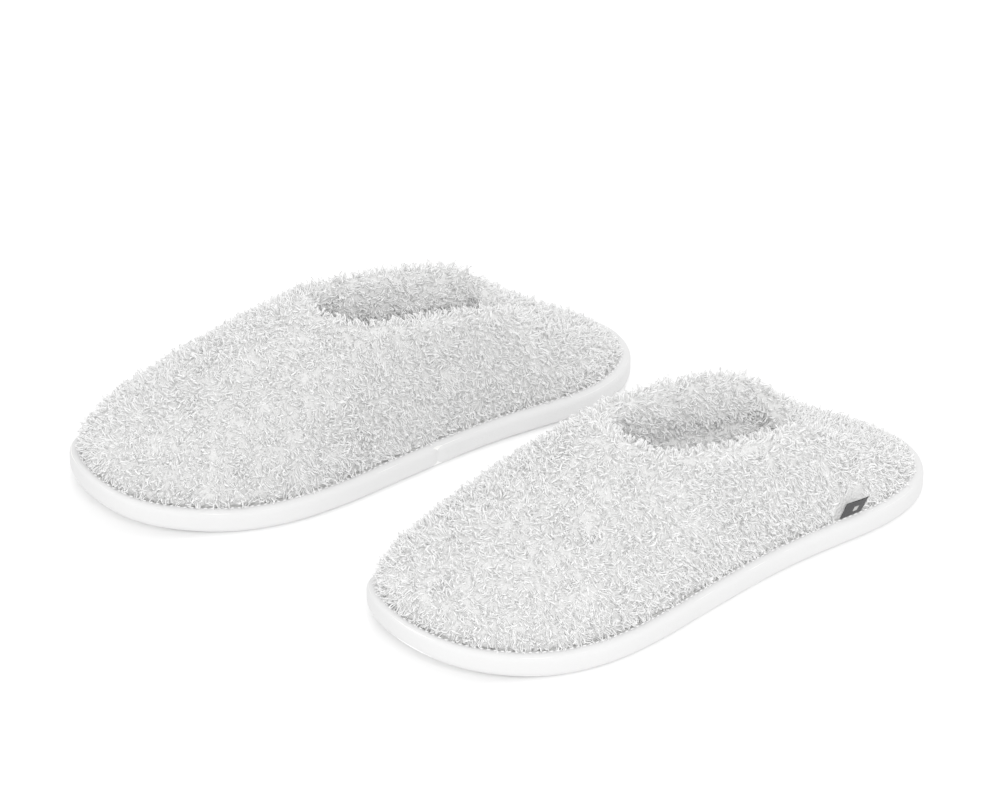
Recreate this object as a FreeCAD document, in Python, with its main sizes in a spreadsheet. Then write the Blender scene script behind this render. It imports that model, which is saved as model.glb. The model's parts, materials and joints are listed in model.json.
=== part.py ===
"""A pair of closed terry spa slippers, built as a parametric document.

Each slipper is drawn in its own frame: Y runs from the tip of the toe (0) to the
heel, X runs to the wearer's left and Z is up from the floor.  The sole is a stack
of layers that share one outline and one toe spring, and a binding tape is folded
round their edge.  The upper is a stack of soft layers over the foot, cut at the
sides into a vamp (front) and a heel quarter.  The two slippers then take their
places in the pair's frame: origin under the middle of the pair, +Y to the heels.
"""
import FreeCAD, Part
import functools
import math
import os

import Sketcher

V = FreeCAD.Vector
LEFT, RIGHT = 1, -1
SIDE_NAME = {LEFT: "left", RIGHT: "right"}

# name of the cell: value in millimetres or degrees
SIZES = {
    # outline of the sole, half widths on the outer and the inner side of the foot
    "sole_length": 280.0,
    "outer_tip": 28.0, "inner_tip": 29.5,
    "outer_toes": 45.5, "inner_toes": 43.5,
    "outer_ball": 58.0, "inner_ball": 55.5,
    "outer_instep": 54.0, "inner_instep": 53.0,
    "outer_waist": 45.5, "inner_waist": 45.0,
    "outer_shank": 41.5, "inner_shank": 41.0,
    "outer_seat": 38.5, "inner_seat": 38.0,
    "outer_back": 24.5, "inner_back": 22.5,
    # toe spring
    "spring_length": 61.0,
    "spring_radius": 147.0,
    # layers of the sole, from the floor up
    "dot_height": 1.4,
    "dot_diameter": 5.0,
    "dot_pitch": 13.0,
    "dot_margin": 11.0,
    "outsole_thickness": 1.2,
    "midsole_thickness": 4.5,
    "board_thickness": 1.0,
    "footbed_thickness": 2.5,
    "insole_terry_thickness": 2.5,
    # binding tape
    "tape_thickness": 1.0,
    "lip_width": 5.0,
    # upper
    "terry_thickness": 2.5,
    "padding_thickness": 2.0,
    "lining_thickness": 1.5,
    "collar_thickness": 2.0,
    "collar_gap": 0.6,
    "seam_gap": 0.3,
    "collar_depth": 17.0,
    "stack_gap": 0.3,
    # foot opening
    "opening_centre": 164.0,
    "opening_half_length": 50.0,
    "opening_half_width": 27.0,
    "throat_height": 78.0,
    "collar_side_height": 65.5,
    "collar_slope": 8.0,
    "collar_rear_height": 44.0,
    # woven label in the outer heel seam of the left slipper
    "label_width": 13.0,
    "label_height": 7.0,
    "label_thickness": 0.8,
    "label_place": 222.0,
    "label_lean": 25.0,
    "label_gap": 0.4,
    # how the pair lies
    "toe_out": 2.45,
    "pair_side_offset": 168.6,
    "pair_step_offset": 59.9,
}

# where along the sole each pair of half widths is measured, as a share of its length
STATIONS = {
    "tip": 0.035, "toes": 0.12, "ball": 0.26, "instep": 0.42,
    "waist": 0.58, "shank": 0.74, "seat": 0.88, "back": 0.97,
}
SHEET = "Sizes"
AROUND_VAMP = 33
AROUND_HEEL = 21
ALONG_WALL = 13
AROUND_COLLAR = 41
ALONG_COLLAR = 7
THROAT_CORNER = 2.3  # how square the opening is at its front: 2 is an ellipse
REAR_CORNER = 3.8  # and at its rear

doc = FreeCAD.newDocument("SpaSlippers")
sheet = doc.addObject("Spreadsheet::Sheet", SHEET)
for row, (alias, value) in enumerate(SIZES.items(), start=1):
    sheet.set("A%d" % row, alias.replace("_", " "))
    sheet.set("B%d" % row, str(value))
    sheet.setAlias("B%d" % row, alias)
doc.recompute()


def size(alias):
    """Value of a named cell."""
    return float(sheet.get(alias))


# ----------------------------------------------------------------- sole geometry
def sole_levels():
    """Heights of the faces between the layers, on the flat part of the sole."""
    levels = {"floor": 0.0, "outsole": size("dot_height")}
    levels["tape"] = levels["outsole"] - size("tape_thickness")
    levels["midsole"] = levels["outsole"] + size("outsole_thickness")
    levels["board"] = levels["midsole"] + size("midsole_thickness")
    levels["footbed"] = levels["board"] + size("board_thickness")
    levels["top"] = levels["footbed"] + size("footbed_thickness")
    return levels


def spring_lift(y):
    """How far the toe spring raises the sole at a distance from the tip."""
    run = size("spring_length") - y
    if run <= 0.0:
        return 0.0
    radius = size("spring_radius")
    return radius - math.sqrt(radius * radius - run * run)


@functools.lru_cache(maxsize=None)
def outline_curve(side, inset=0.0):
    """Closed curve of the sole's plan, moved inwards by an inset."""
    length = size("sole_length")
    names = list(STATIONS)
    points = [V(0, 0, 0)]
    points += [V(side * size("outer_" + n), STATIONS[n] * length, 0) for n in names]
    points.append(V(0, length, 0))
    points += [V(-side * size("inner_" + n), STATIONS[n] * length, 0) for n in reversed(names)]
    curve = Part.BSplineCurve()
    curve.interpolate(points, PeriodicFlag=True)
    if inset <= 0.0:
        return curve
    moved = []
    samples = 96
    edge_length = curve.length()
    for index in range(samples):
        at = curve.parameterAtDistance(edge_length * index / samples, curve.FirstParameter)
        tangent = curve.tangent(at)[0]
        inward = V(-tangent.y, tangent.x, 0) * side
        moved.append(curve.value(at) + inward * inset)
    inner = Part.BSplineCurve()
    inner.interpolate(moved, PeriodicFlag=True)
    return inner


def outline_wire(name, side, inset):
    """Plan outline as an object of the document."""
    feature = doc.addObject("Part::Feature", name)
    feature.Shape = Part.Wire([outline_curve(side, inset).toShape()])
    return feature


def prism(name, outline):
    """Outline pulled straight up past the whole sole."""
    body = doc.addObject("Part::Extrusion", name)
    body.Base = outline
    body.DirMode = "Custom"
    body.Dir = V(0, 0, 1)
    body.Solid = True
    body.setExpression("LengthFwd", "%s.sole_length / 4" % SHEET)
    return body


def profile_band(name, low, high):
    """Side view of one layer: flat under the foot, then curved up at the toe.

    low and high are expressions of the sheet's cells for the two faces.
    """
    sketch = doc.addObject("Sketcher::SketchObject", name + "_profile")
    sketch.Placement = FreeCAD.Placement(V(0, 0, 0), FreeCAD.Rotation(V(1, 1, 1), 120))
    start = size("spring_length")
    ahead = 10.0
    behind = size("sole_length") + ahead
    radius = size("spring_radius")
    bottom, top = level_value(low), level_value(high)
    turn = math.asin((start + ahead) / radius)
    lines = [
        Part.LineSegment(V(behind, bottom, 0), V(start, bottom, 0)),
        spring_arc(start, bottom, radius, turn),
        Part.LineSegment(arc_tip(start, bottom, radius, turn), arc_tip(start, top, radius, turn)),
        spring_arc(start, top, radius, turn),
        Part.LineSegment(V(start, top, 0), V(behind, top, 0)),
        Part.LineSegment(V(behind, top, 0), V(behind, bottom, 0)),
    ]
    sketch.addGeometry(lines, False)
    bind = Sketcher.Constraint
    sketch.addConstraint([
        bind("Tangent", 0, 2, 1, 2), bind("Coincident", 1, 1, 2, 1),
        bind("Coincident", 2, 2, 3, 1), bind("Tangent", 3, 2, 4, 1),
        bind("Coincident", 4, 2, 5, 1), bind("Coincident", 5, 2, 0, 1),
        bind("Horizontal", 0), bind("Horizontal", 4), bind("Vertical", 5), bind("Vertical", 2),
    ])
    driving = [
        ("Radius", (1,), radius, "%s.spring_radius" % SHEET),
        ("Radius", (3,), radius, "%s.spring_radius" % SHEET),
        ("DistanceX", (-1, 1, 0, 2), start, "%s.spring_length" % SHEET),
        ("DistanceX", (-1, 1, 5, 2), behind, "%s.sole_length + 10" % SHEET),
        ("DistanceY", (-1, 1, 0, 2), bottom, low),
        ("DistanceY", (-1, 1, 4, 1), top, high),
        ("DistanceX", (2, 1, -1, 1), ahead, "10"),
    ]
    for kind, where, value, expression in driving:
        index = sketch.addConstraint(bind(kind, *where, value))
        sketch.setExpression("Constraints[%d]" % index, expression)
    body = doc.addObject("Part::Extrusion", name + "_band")
    body.Base = sketch
    body.DirMode = "Custom"
    body.Dir = V(1, 0, 0)
    body.Solid = True
    body.Symmetric = True
    body.setExpression("LengthFwd", "%s.sole_length" % SHEET)
    return body


def arc_tip(start, level, radius, turn):
    """End of the toe spring's arc in the side view."""
    return V(start - radius * math.sin(turn), level + radius * (1 - math.cos(turn)), 0)


def spring_arc(start, level, radius, turn):
    """Toe spring's arc in the side view, from its tip back to the flat."""
    centre = V(start, level + radius, 0)
    circle = Part.Circle(centre, V(0, 0, 1), radius)
    bottom = 1.5 * math.pi
    return Part.ArcOfCircle(circle, bottom - turn, bottom)


def level_value(expression):
    """Number that an expression of the sheet's cells gives."""
    return float(sheet.evalExpression(expression.replace(SHEET + ".", "")))


def level_expression(top_of):
    """Expression for the height of a face, as the sum of the layers below it."""
    layers = ["dot_height", "outsole_thickness", "midsole_thickness",
              "board_thickness", "footbed_thickness"]
    count = {"outsole": 1, "midsole": 2, "board": 3, "footbed": 4, "top": 5}[top_of]
    return " + ".join("%s.%s" % (SHEET, layer) for layer in layers[:count])


def common(name, one, other):
    """Part that two solids share."""
    body = doc.addObject("Part::Common", name)
    body.Base = one
    body.Tool = other
    return body


def cut(name, base, tool):
    """Base with the tool taken away."""
    body = doc.addObject("Part::Cut", name)
    body.Base = base
    body.Tool = tool
    return body


def sole_pieces(side):
    """Outsole, midsole, board, footbed, terry insole, binding tape and grip dots."""
    foot = SIDE_NAME[side]
    tape = size("tape_thickness")
    core_outline = outline_wire(foot + "_core_outline", side, tape)
    edge_outline = outline_wire(foot + "_edge_outline", side, 0.0)
    lip_outline = outline_wire(foot + "_lip_outline", side, size("lip_width"))
    bed_outline = doc.addObject("Part::Feature", foot + "_bed_outline")
    bed_outline.Shape = Part.Wire([bed_curve(side).toShape()])
    faces = ["outsole", "midsole", "board", "footbed", "top"]
    names = ["outsole", "midsole_foam", "insole_board", "footbed_foam"]
    pieces = {}
    for name, low, high in zip(names, faces, faces[1:]):
        label = "%s_%s" % (foot, name)
        band = profile_band(label, level_expression(low), level_expression(high))
        pieces[label] = common(label, prism(label + "_prism", core_outline), band)
    top = level_expression("top")
    label = foot + "_insole_terry"
    band = profile_band(label, top, "%s + %s.insole_terry_thickness" % (top, SHEET))
    pieces[label] = common(label, prism(label + "_prism", bed_outline), band)

    label = foot + "_sole_binding"
    bottom = level_expression("outsole")
    outer_band = profile_band(label, "%s - %s.tape_thickness" % (bottom, SHEET),
                              "%s + %s.tape_thickness" % (top, SHEET))
    core_band = profile_band(label + "_core", bottom, top)
    outer = common(label + "_outer", prism(label + "_edge", edge_outline), outer_band)
    core = common(label + "_inner", prism(label + "_core_prism", core_outline), core_band)
    channel = cut(label + "_channel", outer, core)
    pieces[label] = cut(label, channel, prism(label + "_mouth", lip_outline))

    label = foot + "_grip_dots"
    pieces[label] = grip_dots(label, side)
    return pieces


def grip_dots(label, side):
    """Moulded dots under the flat part of the outsole, in staggered rows."""
    outline = Part.Face(Part.Wire([outline_curve(side, size("dot_margin")).toShape()]))
    pitch = size("dot_pitch")
    radius = size("dot_diameter") / 2.0
    row_pitch = pitch * math.sqrt(3.0) / 2.0
    dots = []
    rows = int((size("sole_length") - size("spring_length")) / row_pitch)
    columns = int(size("outer_ball") / pitch) + 1
    for row in range(rows + 1):
        y = size("spring_length") + radius + row * row_pitch
        shift = pitch / 2.0 if row % 2 else 0.0
        for column in range(-columns, columns + 1):
            centre = V(column * pitch + shift, y, 0)
            if outline.isInside(centre, 0.01, True):
                dots.append(Part.makeCylinder(radius, size("dot_height"), centre))
    feature = doc.addObject("Part::Feature", label)
    feature.Shape = Part.Compound(dots)
    return feature


# ---------------------------------------------------------------- upper geometry
def upper_depth():
    """Thickness of the upper's terry, padding and lining together."""
    return size("terry_thickness") + size("padding_thickness") + size("lining_thickness")


def rim_point(side, direction):
    """Point of the foot opening's edge in a direction of the plan.

    The collar keeps its height along both sides and drops round its rear corners
    to the low heel; at the front it rises to the throat.
    """
    half_width = size("opening_half_width")
    half_length = size("opening_half_length")
    corner = THROAT_CORNER if direction.y < 0.0 else REAR_CORNER
    reach = (abs(direction.x) / half_width) ** corner
    reach += (abs(direction.y) / half_length) ** corner
    reach = reach ** (-1.0 / corner)
    forward = -direction.y * reach / half_length
    beside = abs(direction.x) * reach / half_width
    line = size("collar_side_height") + size("collar_slope") * forward
    end = size("throat_height") if forward > 0.0 else size("collar_rear_height")
    level = size("collar_side_height") + math.copysign(size("collar_slope"), forward)
    height = line + (end - level) * (1.0 - beside * beside) ** 2
    return V(direction.x * reach, size("opening_centre") + direction.y * reach, height)


def wall_handles(direction):
    """Shape of a wall section: how steep it starts and where its shoulder sits."""
    forward = -direction.y
    front = max(forward, 0.0) ** 1.5
    rear = max(-forward, 0.0) ** 1.5
    steep = 0.36 + 0.06 * front - 0.19 * rear
    shoulder_in = 0.35 + 0.13 * rear
    shoulder_up = 0.56 - 0.05 * rear
    return steep, shoulder_in, shoulder_up


def wall_point(side, base, share):
    """Point of the upper's outer face on the section through a base point.

    share runs from 0 at the sole to 1 at the edge of the foot opening.
    """
    centre = V(0, size("opening_centre"), 0)
    direction = (base - centre).normalize()
    rim = rim_point(side, direction)
    steep, shoulder_in, shoulder_up = wall_handles(direction)
    rest = 1.0 - share
    one, two, three = 3 * rest * rest * share, 3 * rest * share * share, share ** 3
    inwards = two * shoulder_in + three
    upwards = one * steep + two * shoulder_up + three
    sole_top = sole_levels()["top"] + size("stack_gap")
    x = base.x + (rim.x - base.x) * inwards
    y = base.y + (rim.y - base.y) * inwards
    return V(x, y, sole_top + (rim.z - sole_top) * upwards)


class Wall:
    """Outer face of the upper between two places of the sole's outline."""

    def __init__(self, side, start, stop, around):
        self.side = side
        self.curve = outline_curve(side, size("lip_width"))
        self.around = around
        self.length = self.curve.length()
        self.start = start + size("seam_gap") / 2.0 / self.length
        self.stop = stop - size("seam_gap") / 2.0 / self.length
        self.bases = {}

    def base(self, place):
        """Base point at a place from 0 to 1 between the two side seams."""
        key = round(place, 6)
        if key not in self.bases:
            self.bases[key] = self.find_base(place)
        return self.bases[key]

    def find_base(self, place):
        """Work out the base point at a place of the outline."""
        share = (self.start + (self.stop - self.start) * place) % 1.0
        at = self.curve.parameterAtDistance(self.length * share, self.curve.FirstParameter)
        return self.curve.value(at)

    def point(self, place, share, depth):
        """Point of the upper at a depth under its outer face, before the toe spring."""
        step = 0.004
        here = wall_point(self.side, self.base(place), share)
        if depth <= 0.0:
            return here
        ahead = wall_point(self.side, self.base(place + step), share)
        behind = wall_point(self.side, self.base(place - step), share)
        low, high = max(share - step, 0.0), min(share + step, 1.0)
        rise = wall_point(self.side, self.base(place), high)
        rise = rise - wall_point(self.side, self.base(place), low)
        inward = (ahead - behind).cross(rise) * -self.side
        return here + inward.normalize() * depth

    def face(self, depth):
        """Smooth face at a depth, from the sole to the edge of the foot opening."""
        grid = []
        for index in range(self.around):
            place = index / (self.around - 1.0)
            first = self.lowest_share(place, depth, sole_levels()["top"])
            column = []
            for step in range(ALONG_WALL):
                share = first + (1.0 - first) * step / (ALONG_WALL - 1.0)
                spot = self.point(place, share, depth)
                column.append(V(spot.x, spot.y, spot.z + spring_lift(spot.y)))
            grid.append(column)
        surface = Part.BSplineSurface()
        surface.interpolate(grid)
        return surface

    def lowest_share(self, place, depth, level):
        """Share of the section at which a layer's face leaves a level upwards."""
        level += size("stack_gap")
        steps = 24
        low = None
        for step in range(steps):
            if self.point(place, step / float(steps), depth).z < level - 1e-6:
                low = step
        if low is None:
            return 0.0
        low, high = low / float(steps), (low + 1.0) / steps
        for _halving in range(30):
            middle = (low + high) / 2.0
            if self.point(place, middle, depth).z < level:
                low = middle
            else:
                high = middle
        return high

    def plan_point(self, place, depth, level):
        """Plan position at which a layer's face stands at a level."""
        spot = self.point(place, self.lowest_share(place, depth, level), depth)
        return V(spot.x, spot.y, 0)


def upper_walls(side):
    """Vamp from seam to seam round the toe, and heel quarter round the heel."""
    outer_seam, inner_seam = seam_places(side)
    return {
        "vamp": Wall(side, inner_seam, outer_seam + 1.0, AROUND_VAMP),
        "heel": Wall(side, outer_seam, inner_seam, AROUND_HEEL),
    }


def strip_foot(face, along, reach):
    """Parameter of a face that lies a distance below its upper edge."""
    bounds = face.bounds()
    steps = 200
    gone = 0.0
    last = face.value(along, bounds[3])
    for step in range(steps - 1, 0, -1):
        up = bounds[2] + (bounds[3] - bounds[2]) * step / float(steps)
        spot = face.value(along, up)
        gone += (spot - last).Length
        last = spot
        if gone >= reach:
            return up
    return bounds[2]


def facing(face, gap, reach):
    """Face that follows a lining at a gap, from its upper edge down over a reach."""
    bounds = face.bounds()
    grid = []
    for index in range(AROUND_COLLAR):
        along = bounds[0] + (bounds[1] - bounds[0]) * index / (AROUND_COLLAR - 1.0)
        foot = strip_foot(face, along, reach)
        column = []
        for step in range(ALONG_COLLAR):
            up = foot + (bounds[3] - foot) * step / (ALONG_COLLAR - 1.0)
            spot = face.value(along, up)
            inward = face.normal(along, up)
            if inward.dot(V(-spot.x, size("opening_centre") - spot.y, 0)) < 0.0:
                inward = inward * -1.0
            column.append(spot + inward * gap)
        grid.append(column)
    surface = Part.BSplineSurface()
    surface.interpolate(grid)
    return surface


def bed_curve(side):
    """Plan of the terry insole, which ends against the foot of the lining."""
    depth = upper_depth() + size("stack_gap")
    level = sole_levels()["top"] + size("insole_terry_thickness")
    points = []
    for wall in upper_walls(side).values():
        count = wall.around - 1
        points += [wall.plan_point(i / float(count), depth, level) for i in range(count)]
    curve = Part.BSplineCurve()
    curve.interpolate(points, PeriodicFlag=True)
    return curve


def solid_between(outer, inner):
    """Solid between two faces that run side by side, closed by ruled edges."""
    faces = [outer.toShape(), inner.toShape()]
    bounds = outer.bounds()
    inner_bounds = inner.bounds()
    for index in (0, 1):
        one = outer.uIso(bounds[index]).toShape()
        two = inner.uIso(inner_bounds[index]).toShape()
        faces.append(Part.makeRuledSurface(one, two))
    for index in (2, 3):
        one = outer.vIso(bounds[index]).toShape()
        two = inner.vIso(inner_bounds[index]).toShape()
        faces.append(Part.makeRuledSurface(one, two))
    shell = Part.Shell(Part.Compound(faces).Faces)
    shell.sewShape()
    solid = Part.Solid(shell)
    if solid.Volume < 0.0:
        solid.reverse()
    return solid


def seam_places(side):
    """Places of the outline where the side seams of the upper stand."""
    curve = outline_curve(side, size("lip_width"))
    length = curve.length()
    seam = size("opening_centre")
    samples = 400
    crossings = []
    last = None
    for index in range(samples + 1):
        share = index / float(samples)
        at = curve.parameterAtDistance(length * share, curve.FirstParameter)
        offset = curve.value(at).y - seam
        if last is not None and (offset > 0.0) != (last[1] > 0.0):
            gap = last[1] / (last[1] - offset)
            crossings.append(last[0] + (share - last[0]) * gap)
        last = (share, offset)
    return crossings


def upper_pieces(side):
    """Terry, padding, lining and collar facing of the vamp and the heel quarter."""
    foot = SIDE_NAME[side]
    layers = [("terry", "terry_thickness"), ("padding", "padding_thickness"),
              ("lining", "lining_thickness")]
    pieces = {}
    for quarter, wall in upper_walls(side).items():
        depth = 0.0
        face = wall.face(depth)
        for layer, thickness in layers:
            depth += size(thickness)
            next_face = wall.face(depth)
            add_solid(pieces, "%s_%s_%s" % (foot, quarter, layer), solid_between(face, next_face))
            face = next_face
        gap, strip = size("collar_gap"), size("collar_depth")
        top = facing(face, gap, strip)
        under = facing(face, gap + size("collar_thickness"), strip)
        add_solid(pieces, "%s_%s_collar" % (foot, quarter), solid_between(top, under))
    return pieces


def add_solid(pieces, label, solid):
    """Keep a solid as an object of the document."""
    feature = doc.addObject("Part::Feature", label)
    feature.Shape = solid
    pieces[label] = feature


# ------------------------------------------------------------------------- label
def label_tab(side):
    """Folded woven label sewn into the seam above the binding, at the outer heel."""
    label = SIDE_NAME[side] + "_label_tab"
    body = doc.addObject("PartDesign::Body", label)
    plane = [f for f in body.Origin.OriginFeatures if f.Role == "XZ_Plane"][0]
    sketch = body.newObject("Sketcher::SketchObject", label + "_front")
    sketch.AttachmentSupport = [(plane, "")]
    sketch.MapMode = "FlatFace"
    half, height = size("label_width") / 2.0, size("label_height")
    corners = [V(-half, 0, 0), V(half, 0, 0), V(half, height, 0), V(-half, height, 0)]
    sides = [Part.LineSegment(corners[i], corners[(i + 1) % 4]) for i in range(4)]
    sketch.addGeometry(sides, False)
    bind = Sketcher.Constraint
    sketch.addConstraint([bind("Coincident", i, 2, (i + 1) % 4, 1) for i in range(4)])
    sketch.addConstraint([
        bind("Horizontal", 2), bind("Vertical", 1), bind("Vertical", 3),
        bind("PointOnObject", 0, 1, -1), bind("Symmetric", 0, 1, 0, 2, -2),
    ])
    wide = sketch.addConstraint(bind("DistanceX", 0, 1, 0, 2, half * 2))
    tall = sketch.addConstraint(bind("DistanceY", 1, 1, 1, 2, height))
    sketch.setExpression("Constraints[%d]" % wide, "%s.label_width" % SHEET)
    sketch.setExpression("Constraints[%d]" % tall, "%s.label_height" % SHEET)
    pad = body.newObject("PartDesign::Pad", label + "_web")
    pad.Profile = sketch
    pad.setExpression("Length", "%s.label_thickness" % SHEET)
    pad.Midplane = True
    doc.recompute()
    edges = []
    for index, edge in enumerate(pad.Shape.Edges, start=1):
        spread = edge.BoundBox
        level = abs(spread.ZMin - height) < 1e-6 or abs(spread.ZMax) < 1e-6
        if spread.XLength > half and level:
            edges.append("Edge%d" % index)
    fold = body.newObject("PartDesign::Fillet", label + "_fold")
    fold.Base = (pad, edges)
    fold.setExpression("Radius", "%s.label_thickness * 0.45" % SHEET)
    body.Tip = fold
    return label, body


def label_placement(side):
    """Where the label is sewn in: beside the terry, on top of the binding's lip."""
    curve = outline_curve(side, size("lip_width"))
    length = curve.length()
    samples = 600
    best = None
    for index in range(samples // 2):
        share = index / float(samples)
        at = curve.parameterAtDistance(length * share, curve.FirstParameter)
        offset = abs(curve.value(at).y - size("label_place"))
        if best is None or offset < best[0]:
            best = (offset, at)
    at = best[1]
    tangent = curve.tangent(at)[0]
    outward = V(tangent.y, -tangent.x, 0) * side
    gap = size("label_gap") + size("label_thickness") / 2.0
    level = sole_levels()["top"] + size("tape_thickness") + gap
    spot = curve.value(at) + outward * gap + V(0, 0, level)
    along = tangent * side
    lean = math.radians(size("label_lean"))
    upward = outward * math.sin(lean) + V(0, 0, math.cos(lean))
    turn = FreeCAD.Rotation(along, V(0, 0, 0), upward, "XZY")
    return FreeCAD.Placement(spot, turn)


# ---------------------------------------------------------------------- the pair
def slipper_placement(side):
    """Place of a slipper in the pair's frame, before the pair is centred."""
    turn = FreeCAD.Rotation(V(0, 0, 1), side * size("toe_out"))
    offset = V(0, 0, 0)
    if side == LEFT:
        offset = V(size("pair_side_offset"), size("pair_step_offset"), 0)
    return FreeCAD.Placement(offset, turn)


def build_pair():
    """Every piece of both slippers, placed in the pair's frame."""
    pieces = {}
    local = {}
    for side in (RIGHT, LEFT):
        for label, feature in {**sole_pieces(side), **upper_pieces(side)}.items():
            pieces[label] = (feature, side)
            local[label] = FreeCAD.Placement()
    label, feature = label_tab(LEFT)
    pieces[label] = (feature, LEFT)
    local[label] = label_placement(LEFT)
    doc.recompute()
    for label, (feature, side) in pieces.items():
        feature.Label = label
        feature.Placement = slipper_placement(side).multiply(local[label])
    doc.recompute()
    box = FreeCAD.BoundBox()
    for feature, _side in pieces.values():
        box.add(feature.Shape.optimalBoundingBox())
    centre = FreeCAD.Placement(V(-box.Center.x, -box.Center.y, 0), FreeCAD.Rotation())
    for feature, _side in pieces.values():
        feature.Placement = centre.multiply(feature.Placement)
    doc.recompute()
    return {label: feature for label, (feature, _side) in pieces.items()}


def write(pieces):
    """Check every object and write each piece to its own file."""
    for thing in doc.Objects:
        if "Invalid" in thing.State or "Error" in thing.State:
            raise RuntimeError("%s failed: %s" % (thing.Label, thing.State))
    os.makedirs("parts", exist_ok=True)
    for label, feature in pieces.items():
        shape = feature.Shape
        if shape.isNull() or not shape.isValid() or not shape.Solids:
            raise RuntimeError("%s has no valid solid" % label)
        if min(solid.Volume for solid in shape.Solids) <= 0.0:
            raise RuntimeError("%s has an empty solid" % label)
        shape.exportStep("parts/%s.step" % label)
        box = shape.BoundBox
        print("%-24s %2d solid  %9.1f mm3  z %.2f..%.2f"
              % (label, len(shape.Solids), shape.Volume, box.ZMin, box.ZMax))


write(build_pair())
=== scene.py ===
"""Pair of white terry spa slippers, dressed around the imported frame.

Each slipper is a padded terry upper rolled over at the foot opening, a terry
insole, a sole whose edge is closed by a binding tape, and the tape's stitching.
The loops of the terry are real: each zone of the cloth carries its own pile.
"""

import json
import logging
import math
from dataclasses import dataclass, field
from enum import Enum

import bmesh
import bpy
import numpy as np
from mathutils import Matrix, Vector, noise

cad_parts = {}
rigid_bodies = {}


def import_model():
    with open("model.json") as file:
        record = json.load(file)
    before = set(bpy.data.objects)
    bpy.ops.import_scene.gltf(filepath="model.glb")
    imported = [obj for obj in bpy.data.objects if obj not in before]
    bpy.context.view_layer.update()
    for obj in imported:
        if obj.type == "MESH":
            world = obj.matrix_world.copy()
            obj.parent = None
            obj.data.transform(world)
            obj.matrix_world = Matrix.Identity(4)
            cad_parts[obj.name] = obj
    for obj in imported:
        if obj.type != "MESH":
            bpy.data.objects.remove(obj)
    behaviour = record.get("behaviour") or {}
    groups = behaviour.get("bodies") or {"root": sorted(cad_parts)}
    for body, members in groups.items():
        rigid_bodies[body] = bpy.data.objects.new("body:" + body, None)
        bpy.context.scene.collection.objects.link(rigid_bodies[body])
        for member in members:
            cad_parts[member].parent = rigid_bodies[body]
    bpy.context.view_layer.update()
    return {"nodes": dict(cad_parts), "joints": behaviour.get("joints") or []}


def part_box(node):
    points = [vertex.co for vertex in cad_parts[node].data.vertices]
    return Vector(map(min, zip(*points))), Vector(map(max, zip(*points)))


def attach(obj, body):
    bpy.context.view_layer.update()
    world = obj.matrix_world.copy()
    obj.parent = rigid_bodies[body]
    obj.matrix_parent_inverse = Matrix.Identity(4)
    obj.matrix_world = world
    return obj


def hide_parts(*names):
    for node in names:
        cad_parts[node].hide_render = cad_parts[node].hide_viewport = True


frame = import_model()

LOG = logging.getLogger("slippers")
MM = 0.001
LEFT_SWAY = 3.5 * MM  # left opening: inner edge this much higher, outer edge as much lower


# --------------------------------------------------------------------- choices
class Foot(Enum):
    """Which foot a slipper is for; the value is the side of the outer ankle."""

    LEFT = 1
    RIGHT = -1

    @property
    def word(self) -> str:
        """Lower-case name used in the names of nodes and pieces."""
        return self.name.lower()

    @property
    def body(self) -> str:
        """Name of the body that the slipper's pieces ride on."""
        return self.word + "_slipper"


class Zone(Enum):
    """Stretches of the upper's outer cloth, as shares of the sole's edge."""

    TOE = ("toe", -0.115, 0.115)
    OUTER = ("outer_side", 0.115, 0.37)
    HEEL = ("heel", 0.37, 0.63)
    INNER = ("inner_side", 0.63, 0.885)

    def __init__(self, word: str, start: float, stop: float) -> None:
        """Keep the zone's word and its two limits.

        Args:
            word: word in the names of the zone's pieces.
            start: where the zone starts, as a share of the edge from the toe's tip.
            stop: where it stops.
        """
        self.word = word
        self.start = start
        self.stop = stop


# ------------------------------------------------------------------ mesh helpers
def add_object(name: str, mesh: bpy.types.Mesh) -> bpy.types.Object:
    """Put a mesh in the scene at the origin.

    Args:
        name: name of the piece.
        mesh: mesh with its place in its vertices.

    Returns:
        The new object.
    """
    piece = bpy.data.objects.new(name, mesh)
    bpy.context.scene.collection.objects.link(piece)
    return piece


def mesh_from(work: bmesh.types.BMesh, name: str, smooth: bool = True) -> bpy.types.Mesh:
    """Turn a bmesh into a mesh and free it.

    Args:
        work: the bmesh.
        name: name of the mesh.
        smooth: whether its faces are shaded smooth.

    Returns:
        The mesh.
    """
    for face in work.faces:
        face.smooth = smooth
    mesh = bpy.data.meshes.new(name)
    work.to_mesh(mesh)
    work.free()
    return mesh


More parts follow.
